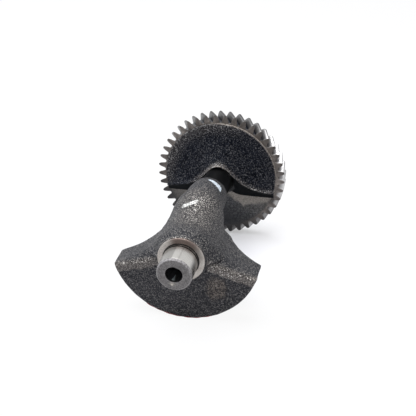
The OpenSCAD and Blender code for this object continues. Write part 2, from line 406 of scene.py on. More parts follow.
def turnedMaterial(name, colour, stain, roughness, along, lines, depth=0.15, stainShare=0.5, dull=None,
                   shadeGlintAndNick=None, mottle=0.0):
    m, tree, sockets = newMaterial(name)  # bright steel, tinted by the tool's lines and smears
    k = turnedForm
    marks = useGroup(tree, toolGroup, along, 1 - along, lines)
    base = blend(tree, rampUp(tree, marks["Smear"], k["smear"], stainShare), colour, stain)
    base = blend(tree, times(tree, marks["Lines"], k["lineShare"]), base, tinted(colour, k["lineTint"]))
    if mottle:
        grain = useGroup(tree, grainGroup, k["grains"])
        base = blend(tree, times(tree, grain["Grain"], mottle), base, tinted(colour, k["mottleTint"]))
    # Duller bands: painted reflection on the journal, painted shade in the hole, brown on the ring's top, a
    # duller end face
    base = blend(tree, mask(tree, "dullAndShadeMask"), base, dull or tinted(colour, k["dullTint"]))
    sockets["Metallic"].default_value = 1.0
    if shadeGlintAndNick:  # a matt spot or line: painted shade in grooves, a painted highlight in the hole, a nick on the end face
        spot = mask(tree, "shadeGlintAndNickMask")
        base = blend(tree, spot, base, shadeGlintAndNick)
        tree.links.new(calc(tree, "SUBTRACT", 1.0, spot), sockets["Metallic"])
    tree.links.new(base, sockets["Base Color"])
    tree.links.new(scaled(tree, marks["Smear"], k["roughSmear"], roughness), sockets["Roughness"])
    bump(tree, sockets, marks["Lines"], depth, k["lineDepth"])
    return m


paintForm = dict(grains=950.0, worn=(0.35, 0.8), wornTint=0.25, roughness=0.6, bump=0.4, depth=0.0002)


def paintMaterial(name, colour, wear):  # chalky paint that the grain below breaks up
    m, tree, sockets = newMaterial(name)
    k = paintForm
    grain = useGroup(tree, grainGroup, k["grains"])
    worn = times(tree, rampUp(tree, grain["Grain"], k["worn"]), wear)
    base = blend(tree, worn, colour, tinted(colour, k["wornTint"]))
    tree.links.new(base, sockets["Base Color"])
    sockets["Roughness"].default_value = k["roughness"]
    bump(tree, sockets, grain["Height"], k["bump"], k["depth"])
    return m


forgedBodySteel = forgedMaterial("forgedScale", bodyLook)
shadedLobeSteel = forgedMaterial("shadedLobeScale", shadedLobeLook)
turnedSteel = {name: turnedMaterial(name, **look) for name, look in turnedLooks.items()}
print("stage: materials made")


def bodyRadius(y, a, e):
    # Distance from the axis at y and angle a from straight down: the larger of a raised oval and the fan,
    # which sweeps in as an exponential behind and falls past its edge angle e as a soft inverse power
    t = np.clip((y - fanEnd) / fan["flareLen"], 0, 3)
    sweep = lerp(beam["rootR"], fan["r"], np.exp(-fan["flareRate"] * t))
    full = np.where(y <= fanEnd, fan["r"], sweep * fade(*fan["fade"], t))
    endT = np.clip((y - noseAt) / beam["nose"], 0, 1)
    endW, endH = [np.clip(1 - endT ** power, 0, 1) ** root for power, root in (beam["noseW"], beam["noseH"])]
    root = lerp(bossR, beam["rootR"], ease(rootFrom, rootTo, y))
    slimW = lerp(beam["rootR"], beam["halfW"], ease(slimFrom, noseAt, y))
    slimH = lerp(beam["rootR"], beam["halfH"], ease(slimFrom, riseTo, y))
    w = np.maximum(np.where(y < slimFrom, root, slimW) * endW, beam["least"])
    h = np.maximum(np.where(y < slimFrom, root, slimH) * endH, beam["least"])
    c = beam["rise"] * ease(fanEnd, riseTo, y) * endH
    dx, dz = np.sin(a) / w, -np.cos(a) / h
    p, q, s = dx ** 2 + dz ** 2, -dz * c / h, (c / h) ** 2 - 1
    oval = (-q + np.sqrt(np.maximum(0, q * q - p * s))) / p
    past = np.maximum(np.degrees(a) - e, 0)
    left = 1 / (1 + (past / fan["soft"]) ** fan["power"])
    return np.where(full > oval, lerp(oval, full, left), oval)


def fanEdge(y):  # angle of the fan's upper edge, which climbs to level as the fan runs out
    return lerp(fanHalf, 90, ease(fanEnd, flareEnd, y))


def folded(a):  # angle from straight down on either side, a from 0 to a full turn
    return np.where(a > math.pi, 2 * math.pi - a, a)


columnSet = dict(near=28, nearCount=18, nearPower=1.9, lowerCount=62, lowerPower=0.9, upperCount=40)


def bodyColumns(e):  # angles round one ring, gathered at the fan's edge e and mirrored
    k = columnSet
    near = k["near"] * np.linspace(0, 1, k["nearCount"]) ** k["nearPower"]
    lower = e * np.linspace(0, 1, k["lowerCount"], endpoint=False) ** k["lowerPower"]
    upper = e + k["near"] + (180 - k["near"] - e) * np.linspace(0, 1, k["upperCount"])[1:]
    half = np.concatenate([lower, e + near, upper])
    return np.radians(np.concatenate([half, 360 - half[-2:0:-1]]))


def ringPoints(ys, insets):  # rings of the forged body at ys, each drawn in by its inset
    es = fanEdge(ys) - np.degrees(insets / (fan["r"] * 0.7))
    a = np.array([bodyColumns(e) for e in es])
    y = ys[:, None] + np.zeros_like(a)
    r = bodyRadius(y, folded(a), es[:, None]) - insets[:, None]
    return polar(r, y, a)


deckScoop = dict(lean=1.0, limit=7.0, past=(17.5, 22.0))


def overEdge(x, z):  # height over the fan's radial upper edge
    return z * math.cos(fanSlope) + np.abs(x) * math.sin(fanSlope)


def scoop(x, y, z):
    # How far the front of the decks leans back beside the boss: by the height over the fan's radial upper
    # edge, less near the boss, and fading to nothing at the fan's rear
    k = deckScoop
    over = np.clip(overEdge(x, z), 0, k["limit"])
    left = np.clip((fanEnd - y) / fan["thick"], 0, 1)
    return k["lean"] * over * ease(*k["past"], np.hypot(x, z)) * left


noseCut = dict(depth=1.7, bell=(28.0, 22.0), along=(50.0, 64.0))


def noseTrim(p):
    # How far the nose's upper left is drawn in: a bell over the angle from straight up, growing with y
    k = noseCut
    x, y, z = np.moveaxis(p, -1, 0)
    left = np.degrees(np.arctan2(-x, z))
    return k["depth"] * around(left, *k["bell"]) * ease(*k["along"], y)


bodyRows = dict(face=36, faceFrom=0.2, edge=8, along=(18, 8, 56, 46), heel=1.2, nose=42, noseShare=0.9995)
stainSpot = dict(x=20.3, z=-23.0, halfW=7.2, halfH=8.5, stripe=3.9, stripeShare=0.25, fade=(0.6, 1.2),
                 uneven=0.1)
bodyMarks = dict(
    front=(0.4, 1.6), landTop=(-0.9, 0.1), landLow=(-0.4, 0.9), landUneven=0.5, landFrom=(15.5, 18),
    landShare=0.85, leftLand=0.8, edgeTo=3.2, edgeBell=(0.6, 1.1), edgeFrom=(16, 20),
    plainWithin=(6, 12), crown=(8, 40), crownFrom=(8, 22), crownTo=(42, 60), crownStain=0.33, crownSpeckHighlight=0.8,
    rightSpeck=(0.9, -0.35, 29, 38), leftSpeck=0.45,
)


def forgedBody():
    # Polar surface r(y, a): the flat front face drawn out from the axis, a rounded edge, then rings along y
    n, k = bodyRows, bodyMarks
    turn = np.linspace(math.pi / 2, 0, n["edge"])
    stops = [fan["back"] + fan["edge"], fanEnd - n["heel"], fanEnd + n["heel"], slimFrom, noseAt]
    along = [np.linspace(*ends, count)[1:] for *ends, count in zip(stops, stops[1:], n["along"])]
    nose = beam["nose"] * (1 - (1 - np.linspace(0, 1, n["nose"])[1:]) ** 2) * n["noseShare"]
    ys = np.concatenate([fan["back"] + fan["edge"] * (1 - np.sin(turn)), *along, noseAt + nose])
    insets = np.zeros_like(ys)
    insets[:n["edge"]] = fan["edge"] * (1 - np.cos(turn))
    rings = ringPoints(ys, insets)
    rim = rings[0]
    share = np.linspace(n["faceFrom"], 1, n["face"])[:-1, None, None]
    face = rim * [1, 0, 1] * share + [0, fan["back"], 0]
    pole = np.zeros_like(rim[None])
    grid = np.concatenate([pole + [0, fan["back"], 0], face, rings, pole + [0, beam["end"], 0]])
    x, y, z = np.moveaxis(grid, -1, 0)
    below = -overEdge(x, z)
    out = np.abs(x) * math.cos(fanSlope) - z * math.sin(fanSlope)  # outwards along the upper edge
    front = 1 - stepAt(fan["back"], k["front"], y)
    uneven = ripple(grid, 5, 0, 6)
    land = front * stepAt(fan["edge"], k["landTop"], below) * ease(*k["landFrom"], out)
    land *= 1 - stepAt(fan["edge"] + fan["landH"], k["landLow"], below + uneven * k["landUneven"])
    # Pale specks along the fan's upper edges: rough flash that also carries a painted highlight
    onEdge = (y < fan["back"] + k["edgeTo"]) * around(below, *k["edgeBell"])
    onEdge *= ease(*k["edgeFrom"], out)
    s = stainSpot
    away = np.hypot((x - s["x"]) / s["halfW"], (z - s["z"]) / s["halfH"]) + uneven * s["uneven"]
    stain = front * fade(*s["fade"], away)
    stain *= 1 - s["stripeShare"] * (0.5 + 0.5 * np.sin(s["stripe"] * x))
    lift = forgedRipple(grid) - forgedSkin["sink"] - noseTrim(grid)
    outward = np.stack([x, np.zeros_like(x), z], -1) / np.maximum(np.hypot(x, z), 1)[..., None]
    flat = (front > 0.9)[..., None]
    keep = ease(*k["plainWithin"], np.hypot(x, z))[..., None]
    grid = grid + keep * lift[..., None] * np.where(flat, np.array([0, -1.0, 0]), outward)
    grid[..., 1] += scoop(x, y, z) - fan["landOut"] * land
    turn = np.degrees(np.arctan2(x, z))  # 0 straight up
    # The beam's top: a brown stain, and specks there that carry a painted highlight
    crown = around(turn, *k["crown"]) * ease(*k["crownFrom"], y)
    crown *= fade(*k["crownTo"], y)
    landSpeck = np.where(x > 0, grow(*k["rightSpeck"], x), k["leftSpeck"])
    masks = dict(
        landMask=np.maximum(land * k["landShare"], onEdge) * np.where(x > 0, 1, k["leftLand"]),
        stainMask=np.maximum(stain, crown * k["crownStain"]),
        smoothMask=0 * x,
        speckMask=np.maximum(crown * k["crownSpeckHighlight"], np.maximum(onEdge, land * landSpeck)),
    )
    makePiece("forgedBody", grid, forgedBodySteel, masks=masks, sharp=55)


def fillProfile(points, step):  # points of a polyline, no further than step apart
    pts = np.array(points, float)
    counts = [max(1, math.ceil(np.hypot(*(b - a)) / step)) for a, b in zip(pts, pts[1:])]
    parts = [np.linspace(a, b, n + 1)[1:] for a, b, n in zip(pts, pts[1:], counts)]
    return np.concatenate([pts[:1], *parts])


def turnedPiece(name, profile, steel, columns, step, dullAndShade=None, shadeGlintAndNick=None):
    # A profile of (radius, y) carried round the axis; two functions give masks over (angle, r, y): duller
    # bands with painted reflection and shade, and matt spots with painted shade, a painted highlight and a
    # nick
    prof = fillProfile(profile, step)
    a, r, y = fullCircle(columns), prof[:, :1], prof[:, 1:]
    grid = polar(r, y + 0 * a, a)
    flat = np.zeros(grid.shape[:2])
    place = (np.degrees(a), r, y)
    shares = dict(dullAndShadeMask=dullAndShade, shadeGlintAndNickMask=shadeGlintAndNick)
    masks = {key: flat + (share(*place) if share else 0) for key, share in shares.items()}
    makePiece(name, grid, turnedSteel[steel], masks=masks, sharp=25.0)


def signedDeg(deg):  # angle from straight down, from -180 on the left to 180
    return np.mod(deg + 180, 360) - 180


# Painted reflection bands on the journal, and the place of the groove's painted shade
journalShading = dict(left=0.45, leftDeg=(186, 190), line=0.3, lineBell=(166, 2.5), right=0.60,
                   rightDeg=(112, 128), grooveAt=-2.0, grooveHalf=0.61)
ringDull = dict(share=0.8, fromDeg=(108, 145), toDeg=(190, 224), reliefFrom=0.3, reliefWithin=0.2)
endMarks = dict(dull=0.36, allDull=0.06, flatWithin=0.05, nick=(-10, 5, 6.9, 0.45), patch=(-10, 14, 6.3, 1.1),
                patchShare=0.25)
# Painted shade on the hole's walls, and a painted highlight wedge low inside
holeMarks = dict(dull=0.9, start=2, length=8, deg=-12, half=16, least=1, gain=1.4, fadeIn=(0, 0.12),
                 fadeOut=(0.85, 1))
bossMarks = dict(top=(176, 55), topIn=0.7, topTo=1.7, chip=(80, 7, 4, 2))


def journalReflection(deg, r, y):
    # Painted reflection: darker bands along the journal by angle from straight down: left flank, a narrow
    # line, right flank
    k = journalShading
    left = ease(*k["leftDeg"], deg) * k["left"]
    line = around(deg, *k["lineBell"]) * k["line"]
    right = fade(*k["rightDeg"], deg) * k["right"]
    return np.clip(left + line + right, 0, 1)


def journalGroove(deg, r, y):  # painted shade in the grinding groove, dark all round
    return np.abs(y - journalShading["grooveAt"]) < journalShading["grooveHalf"]


def ringStreak(deg, r, y):  # brown over the ring's top
    k = ringDull
    return ease(*k["fromDeg"], deg) * fade(*k["toDeg"], deg) * k["share"]


def ringRelief(deg, r, y):  # painted shade on the relief's floor and wall, dark all round
    return (y > ringDull["reliefFrom"]) * (r < shaft["shoulderR"] - ringDull["reliefWithin"])


def endStreak(deg, r, y):  # the flat end face is duller than its chamfer
    k = endMarks
    return (np.abs(y + shaft["journalLen"]) < k["flatWithin"]) * k["dull"] + k["allDull"]


def endGlint(deg, r, y):  # a nick below the hole and a paler patch round it, bells in angle and radius
    k, side = endMarks, signedDeg(deg)
    return np.maximum(spot(side, r, *k["nick"]), k["patchShare"] * spot(side, r, *k["patch"]))


def holeShade(deg, r, y):  # painted shade: dark walls
    return holeMarks["dull"]


def holeGlint(deg, r, y):  # painted highlight: a pale wedge low on the wall behind the mouth, which narrows inwards
    k = holeMarks
    inside = (y + shaft["journalLen"] - k["start"]) / k["length"]
    half = np.maximum(k["half"] * (1 - inside), k["least"])
    wedge = np.clip(k["gain"] - k["gain"] * np.abs(signedDeg(deg) - k["deg"]) / half, 0, 1)
    return wedge * ease(*k["fadeIn"], inside) * fade(*k["fadeOut"], inside)


def bossSpeck(deg, r, y):  # bright broken edge on top above the ring, partly a painted highlight, and a chip on the right, each a bell
    k = bossMarks
    top = around(deg, *k["top"]) * (r > shaft["coreR"] - k["topIn"]) * (y < k["topTo"])
    return np.maximum(top, spot(deg, y, *k["chip"]))


journalForm = dict(grooveFrom=-2.6, grooveTo=-1.4, grooveDeep=0.6, grooveSlope=0.08, reliefShare=0.35)


def frontJournal():
    # Closed lathe profiles of (radius, y) from the chamfered end back to the shoulder ring
    s, k = shaft, journalForm
    r, c, h, end = s["journalR"], s["chamfer"], s["holeR"], -s["journalLen"]
    relief, ring = r + s["reliefW"] * k["reliefShare"], s["shoulderR"]
    near, far, groove, slope = k["grooveFrom"], k["grooveTo"], r - k["grooveDeep"], k["grooveSlope"]
    turnedPiece("journalSkin", [
        (h + 0.5, 2), (h + 0.5, end + 1.5), (r - 0.3, end + c + 0.3), (r - 0.03, end + c + 0.3),
        (r, end + c + 0.4), (r, near - 0.03), (r, near), (groove, near + slope), (groove, far - slope),
        (r, far), (r, far + 0.03), (r, -0.15), (r - 0.15, 0), (r - 0.25, 2), (h + 0.5, 2),
    ], "groundJournal", 220, 1.0, dullAndShade=journalReflection, shadeGlintAndNick=journalGroove)
    turnedPiece("journalEnd", [
        (h, end + 1.2), (h, end + 0.45), (h + 0.12, end + 0.15), (h + 0.45, end), (r - c - 0.12, end),
        (r - c + 0.05, end + 0.1), (r - 0.12, end + c - 0.02), (r - 0.02, end + c + 0.1), (r, end + c + 0.3),
        (r - 0.2, end + c + 0.5), (h, end + 1.2),
    ], "turnedEnd", 240, 0.3, dullAndShade=endStreak, shadeGlintAndNick=endGlint)
    deep = end + s["holeDepth"]
    turnedPiece("holeSkin", [
        (h + 0.45, end + 0.5), (h, end + 0.5), (h, deep), (0, deep + h * 0.6), (0, deep + h * 0.6 + 0.6),
        (h + 0.45, deep + 0.4), (h + 0.45, end + 0.5),
    ], "drilledHole", 160, 0.5, dullAndShade=holeShade, shadeGlintAndNick=holeGlint)
    turnedPiece("shoulderRing", [
        (r - 0.6, s["reliefDepth"]), (relief - 0.1, s["reliefDepth"]), (relief, 0.35), (relief + 0.05, 0.06),
        (relief + 0.15, 0), (ring - 0.3, 0), (ring - 0.08, 0.08), (ring, 0.3), (ring, s["ringOut"] + 1),
        (r - 0.6, s["ringOut"] + 1), (r - 0.6, s["reliefDepth"]),
    ], "turnedRing", 200, 0.5, dullAndShade=ringStreak, shadeGlintAndNick=ringRelief)
    forgedBoss()


bossSkin = dict(rows=24, columns=300, blend=(0.0, 13.0), widest=30, land=0.6, speck=0.15)


def forgedBoss():
    # Skin from the ring's edge back to the body: its radius grows along an S-curve in y from the core
    # to a plain flare, or above the fan to the body's own section
    k, core, front = bossSkin, shaft["coreR"], shaft["ringOut"] + 0.5
    a = fullCircle(k["columns"])
    back = fan["back"] + fan["edge"]
    section = np.minimum(bodyRadius(back + 0 * a, folded(a), fanHalf), k["widest"])
    above = stepAt(fanHalf, k["blend"], np.degrees(folded(a)))
    rear = lerp(bossR, section, above)
    t = np.linspace(0, 1, k["rows"])[:, None]
    skinR = lerp(core, rear + 0.04, ease(0, 1, t))
    rearY = back + scoop(rear * np.sin(a), back, -rear * np.cos(a))
    skinY = lerp(front, rearY, t)
    headR = np.array([0, core - 0.5, core - 0.15])[:, None] + 0 * a
    headY = np.array([front - 0.5, front - 0.5, front - 0.35])[:, None] + 0 * a
    tailR = np.stack([rear - 0.25, rear - 1.2, 0 * a])
    tailY = rearY + np.array([0.7, 2.4, 2.4])[:, None]
    r, y = np.concatenate([headR, skinR, tailR]), np.concatenate([headY, skinY, tailY])
    outward = polar(1, 0 * a, a)
    y[-1] = y[-1].mean()  # one pole
    grid = outward * r[..., None] + np.stack([0 * y, y, 0 * y], -1)
    grid = grid + outward * ((forgedRipple(grid) - forgedSkin["sink"]) * (r > 1))[..., None]
    bright = bossSpeck(np.degrees(a), r, y)
    masks = dict(landMask=bright * k["land"], stainMask=0 * r, smoothMask=0 * r,
                 speckMask=np.maximum(k["speck"], bright))
    makePiece("forgedBoss", grid, forgedBodySteel, masks=masks, sharp=55)


neckFillet = dict(grow=4, start=8, length=6.5, steps=10)


def neckAndRear():
    # Closed lathe profiles of (radius, y): neck with a quarter-oval fillet at the gear, hub and journal
    s, k = shaft, neckFillet
    n, r, c = s["neckR"], s["journalR"], s["chamfer"]
    q = np.linspace(0, math.pi / 2, k["steps"])
    filletY = gear["at"] - k["start"] + k["length"] * np.sin(q)
    fillet = np.stack([n + k["grow"] * (1 - np.cos(q)), filletY], -1)
    turnedPiece("neckSkin", [
        (0, noseAt), (n, noseAt), *fillet.tolist(), (n + k["grow"], gear["at"] + 1), (0, gear["at"] + 1),
    ], "shadedNeck", 160, 0.9)
    hub, end = gearBack + 2, gearBack + 2 + s["rearLen"]
    turnedPiece("rearHub", [
        (0, gearBack - 1), (s["hubR"], gearBack - 1), (s["hubR"], hub - 0.4), (s["hubR"] - 0.4, hub),
        (r + 1.0, hub), (r + 0.9, hub - 0.4), (0, hub - 0.4),
    ], "turnedRing", 180, 0.6)
    turnedPiece("rearJournalSkin", [
        (0, hub - 1), (r, hub - 1), (r, end - c - 0.15), (r - 0.15, end - c + 0.1),
        (r - c * 0.5, end - c + 0.2), (r - c * 0.5, end - 1.5), (0, end - 1.5),
    ], "groundJournal", 220, 1.0)
    turnedPiece("rearEnd", [
        (0, end - 3.2), (2.1, end - 0.4), (2.5, end), (r - c - 0.12, end), (r - c + 0.05, end - 0.1),
        (r - 0.12, end - c + 0.05), (r - 0.2, end - c - 0.4), (3.2, end - 2.5), (0, end - 4.5),
    ], "turnedEnd", 180, 0.5)


gearLook = dict(
    flank=(0.17, 0.167, 0.168), litFlank=(0.50, 0.495, 0.503), root=(0.022, 0.024, 0.032),
    litRoot=(0.15, 0.135, 0.125), tip=(0.06, 0.058, 0.058), end=(0.135, 0.117, 0.104),
    litEndTone=(0.32, 0.285, 0.26), endDark=(0.065, 0.056, 0.050), web=(0.055, 0.058, 0.065),
    webDark=(0.012, 0.013, 0.016), band=(0.31, 0.283, 0.247), speck=(0.28, 0.26, 0.235),
    grains=1250.0, lines=3500.0, bandGrain=(0.4, 0.55), specks=0.3, smear=(0.35, 0.7), sideSmear=0.35,
    lowShade=0.8, metal=0.8, roughness=0.5, gloss=0.16, specular=0.3, coarse=0.7, fine=0.5, lineBump=0.15,
    bump=0.5, depth=0.00025,
)


def gearMaterial():  # flanks with a painted sheen to the right and painted shade in their roots, brown end faces with painted light on the right and upper left, a grey web with a machined band at its top that takes a pale share low on the right as painted light
    m, tree, sockets = newMaterial("gearSteel")
    k = gearLook
    marks = useGroup(tree, toolGroup, 0.5, 1.0, k["lines"])
    grain = useGroup(tree, grainGroup, k["grains"])
    names = ("flank", "rim", "band", "flankSheen", "root", "tip", "low", "faced")
    flank, rim, band, flankSheen, root, tip, low, faced = [mask(tree, n + "Mask") for n in names]
    web = blend(tree, grain["Grain"], k["webDark"], k["web"])
    web = blend(tree, times(tree, band, scaled(tree, grain["Grain"], *k["bandGrain"])), web, k["band"])
    web = blend(tree, times(tree, grain["Specks"], k["specks"]), web, k["speck"])
    smear = rampUp(tree, marks["Smear"], k["smear"])
    # End faces: paler where the painted light falls, darker in the tool's smears
    end = blend(tree, smear, blend(tree, faced, k["end"], k["litEndTone"]), k["endDark"])
    # Flanks and roots take a painted sheen to the right
    side = blend(tree, flankSheen, k["flank"], k["litFlank"])
    foot = blend(tree, flankSheen, k["root"], k["litRoot"])
    side = blend(tree, times(tree, smear, k["sideSmear"]), side, k["tip"])
    base = blend(tree, flank, blend(tree, rim, web, end), blend(tree, root, side, foot))
    base = blend(tree, tip, base, k["tip"])
    base = blend(tree, times(tree, low, k["lowShade"]), base, k["webDark"])  # painted shade, darker towards the bottom
    tree.links.new(base, sockets["Base Color"])
    tree.links.new(times(tree, flank, k["metal"]), sockets["Metallic"])
    gloss = times(tree, flank, k["gloss"])
    tree.links.new(calc(tree, "SUBTRACT", k["roughness"], gloss), sockets["Roughness"])
    sockets["Specular IOR Level"].default_value = k["specular"]
    machined = times(tree, calc(tree, "MAXIMUM", flank, rim), k["fine"])
    rough = times(tree, grain["Height"], calc(tree, "SUBTRACT", k["coarse"], machined))
    lines = times(tree, marks["Lines"], k["lineBump"])
    bump(tree, sockets, calc(tree, "ADD", rough, lines), k["bump"], k["depth"])
    return m


toothForm = dict(share=(0, .046, .080, .109, .137, .166, .195, .225, .256, .290, .326, .358, .40, .44, .5),
                 depth=(0, .03, .12, .30, .60, 1.0, 1.5, 2.1, 2.85, 3.6, 4.4, 4.9, 5.1, 5.18, 5.2))
bandForm = dict(x=(-40, -15, 0, 5.5, 10.8, 17.2, 26.4, 37.7),
                low=(-22, -24, -16, -14.4, -18.9, -23, -20.5, -17.9))
gearForm = dict(bevel=0.3, rearBevel=1.2, slant=0.25, slantAt=0.42, hub=9, face=28, width=11, inset=0.5)
gearMarks = dict(
    pocketIn=(0.6, 2), pocketOut=(-1.5, 0), pocketTop=(-1.4, 0), rim=(-1.9, -1.0), bandSoft=1.8,
    bandUneven=0.5, side=0.22, sideZ=(-36, -18), sideX=(8, 28), flankSheen=(4, 20, -20, 5), sheenOver=18,
    dull=0.6, lessSheenFrom=(-62, -48), lessSheenTo=(-24, -12), root=(0.6, 2.4), tip=(-0.5, -0.15), lowShade=(-42, -22),
    lowShadeFlank=9, lowShadeTilt=0.35, lowShadeX=20, lowShadeLess=0.6, faced=(-8, 26), facedTop=(136, 32), topShare=0.85,
    webRipple=0.6,
)


def helicalGear():
    # Rings of the tooth outline, r over angle, turned along y by the helix; the faces are drawn in to the hub
    g, k, n = gear, gearMarks, gearForm
    half = np.array(toothForm["share"][1:-1])
    share = np.concatenate([[-0.5], -half[::-1], half])
    depth = np.interp(np.abs(share), toothForm["share"], toothForm["depth"])
    angle = np.radians((g["turn"] + (np.arange(g["teeth"])[:, None] + share) * 360 / g["teeth"]).ravel())
    tooth = np.tile(g["r"] - depth, g["teeth"])
    twist = g["width"] * math.tan(math.radians(g["helix"])) / pitchR

    def ring(radius, y):
        along = (y - g["at"]) / g["width"]
        a = angle + twist * (along + n["slant"] * (along - n["slantAt"]))
        return np.stack([radius * np.cos(a), y + 0 * a, radius * np.sin(a)], -1)

    inner = np.linspace(n["hub"], rootR - n["inset"], n["face"])
    high = (tooth - rootR + n["inset"]) / (g["r"] - rootR + n["inset"])  # 0 under the roots, 1 at the tips
    start, stop = g["at"] + n["bevel"] * high, gearBack - n["rearBevel"] * high
    front = [ring(q + 0 * tooth, g["at"]) for q in inner]
    edge = [ring(tooth - 0.25, start - 0.05), ring(tooth - 0.02, start + 0.2)]
    width = [ring(tooth, lerp(start, stop, t)) for t in np.linspace(0.06, 0.94, n["width"])]
    heel = [ring(tooth - 0.02, stop - 0.2), ring(tooth - 0.25, stop + 0.05)]
    back = [ring(q + 0 * tooth, gearBack) for q in inner[::-1]]
    grid = np.array(front + edge + width + heel + back)
    x, y, z = np.moveaxis(grid, -1, 0)
    rad = np.hypot(x, z)
    flank = np.zeros_like(x)
    flank[len(front) + 1:-len(back)] = 1
    pocket = stepAt(shaft["hubR"], k["pocketIn"], rad)
    pocket *= 1 - stepAt(rootR - g["rimW"], k["pocketOut"], rad)
    pocket *= 1 - stepAt(-lobe["foot"] - g["band"], k["pocketTop"], z)
    isFront = y < g["at"] + g["width"] / 2
    sunk = np.where(isFront, g["webFront"], -g["webRear"]) * pocket * (1 - flank)
    rim = stepAt(rootR, k["rim"], rad) * (1 - flank)
    bandLow = np.interp(x, bandForm["x"], bandForm["low"]) + ripple(grid, 6, 3, 6) * k["bandUneven"]
    # A pale share of the band low on the web's right, painted light
    side = k["side"] * ease(*k["sideZ"], z) * ease(*k["sideX"], x)
    band = isFront * (1 - rim) * np.maximum(ease(-k["bandSoft"], k["bandSoft"], z - bandLow), side)
    deg = np.mod(np.degrees(np.arctan2(z, x)) + 120, 360) - 120
    # Painted sheen on the flanks to the right of a tilted line, less of it low on the right
    sheenFrom = grow(*k["flankSheen"], z)
    lessSheen = k["dull"] * ease(*k["lessSheenFrom"], deg) * fade(*k["lessSheenTo"], deg)
    flankSheen = flank * ease(sheenFrom, sheenFrom + k["sheenOver"], x) * (1 - lessSheen)
    # Painted shade in the tooth gaps, darker towards the roots
    root = flank * (1 - stepAt(rootR, k["root"], rad))
    tip = stepAt(g["r"], k["tip"], rad) * (1 - flankSheen)
    # Painted shade: darker towards the bottom along a tilted line, less of it on the flanks
    lowShade = 1 - stepAt(k["lowShadeFlank"] * flank, k["lowShade"], z + k["lowShadeTilt"] * (x - k["lowShadeX"]))
    # Painted light on the tooth ends: a bell on the right and a weaker one at the upper left
    faced = np.maximum(around(deg, *k["faced"]), k["topShare"] * around(deg, *k["facedTop"]))
    grid[..., 1] += sunk - isFront * (pocket > 0) * (1 - flank) * forgedRipple(grid) * k["webRipple"]
    masks = dict(flankMask=flank, rimMask=rim, bandMask=band, flankSheenMask=flankSheen, rootMask=root, tipMask=tip,
                 lowMask=lowShade * (1 - k["lowShadeLess"] * flank), facedMask=faced)
    makePiece("gearSkin", grid, gearMaterial(), wrapV=True, masks=masks, sharp=30)


def bell(x):  # 1 at the middle, half at the arch's half width
    return 1 / (1 + np.abs(x / lobe["archW"]) ** lobe["archPower"])


def bendCurve(a, b, c, n):  # quadratic curve from a to c that is drawn towards b
    v = np.linspace(0, 1, n + 1)[1:, None, None]
    return a * (1 - v) ** 2 + b * 2 * v * (1 - v) + c * v ** 2


lobeRows = dict(columns=201, rim=7, face=58, crease=6, lip=5, turn=6, under=24)
lobeForm = dict(rimOut=0.8, tipIn=1.4, dropIn=0.4, lipNarrow=0.3, lipMore=0.9, lipAt=(-2, 8), round=1.0,
                bow=2.4, shelf=0.35, flat=0.75, under=(0, 0.6, -1.0), belly=1.2, footIn=0.1, behind=3,
                lipRipple=1.5)
lobeMarks = dict(
    wall=(0.06, 0.66, -15, 2), lip=0.17, lipUneven=0.15, lipMiddle=0.38, lipAt=(-1, 7), fromLeft=(-24, -12),
    leftTop=(-8, 24), topTilt=0.5, topShift=16, edgeR=(30, 41), edgeLeast=0.15, edgeMore=0.85,
    edgeZ=(0.4, 0.6, -10, 8), edgeLand=0.10, edgeSpeck=0.55, nearHalf=1.3, nearRight=(1, -0.55, 4, 22),
    near=0.16, nearSpeck=0.8,
)


